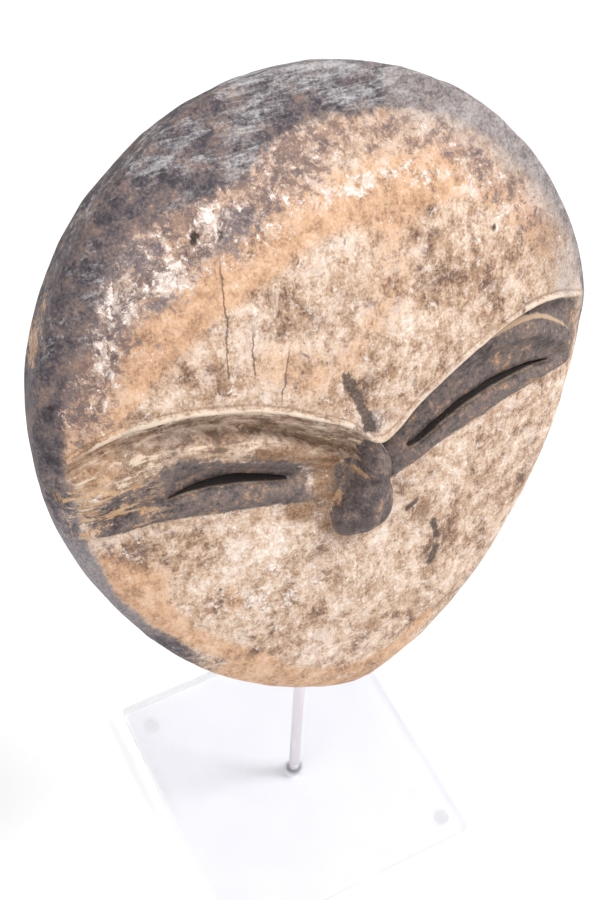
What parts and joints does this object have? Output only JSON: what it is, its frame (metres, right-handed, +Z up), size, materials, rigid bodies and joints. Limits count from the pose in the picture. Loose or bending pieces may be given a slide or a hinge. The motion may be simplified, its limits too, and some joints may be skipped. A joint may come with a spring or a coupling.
{
  "type": "carved wooden face mask on a display stand",
  "caption": "Oval hollow carved wooden face mask with arched brows, slit eyes and a small nose, leaning back on a bent-rod holder on a slim post with a clear square base",
  "frame": {"origin": "middle of the square base's footprint, at the underside of the feet", "axes": "+Z up, the mask looks along -Y, +X is to the right of someone facing the mask from the front; the post is on the Z axis"},
  "size_m": [0.2295, 0.15, 0.4346],
  "materials": {
    "carved_wood": "worn kaolin and ochre paint over dark patinated wood",
    "clear_acrylic": "polished clear acrylic",
    "polished_steel": "polished bright steel",
    "zinc_steel": "zinc plated steel",
    "soft_clear": "translucent soft vinyl",
    "clear_rubber": "translucent silicone bumper"
  },
  "bodies": {
    "stand": {"base_plate": "clear_acrylic", "foot_front_left": "clear_rubber", "foot_front_right": "clear_rubber", "foot_back_left": "clear_rubber", "foot_back_right": "clear_rubber"},
    "holder": {"post_rod": "polished_steel", "post_screw": "zinc_steel", "post_washer": "zinc_steel", "prong_yoke": "polished_steel", "chin_rest": "polished_steel", "prong_tip_left": "soft_clear", "prong_tip_right": "soft_clear", "chin_sleeve_left": "soft_clear", "chin_sleeve_right": "soft_clear"},
    "mask": {"mask_body": "carved_wood"}
  },
  "joints": [
    {"name": "post_swivel", "type": "hinge", "parent": "stand", "child": "holder", "pos_m": [0, 0, 0.007], "axis": [0, 0, 1], "continuous": true},
    {"name": "mask_lift", "type": "slide", "parent": "holder", "child": "mask", "axis": [0, 0, 1], "range_m": [0, 0.26]}
  ]
}
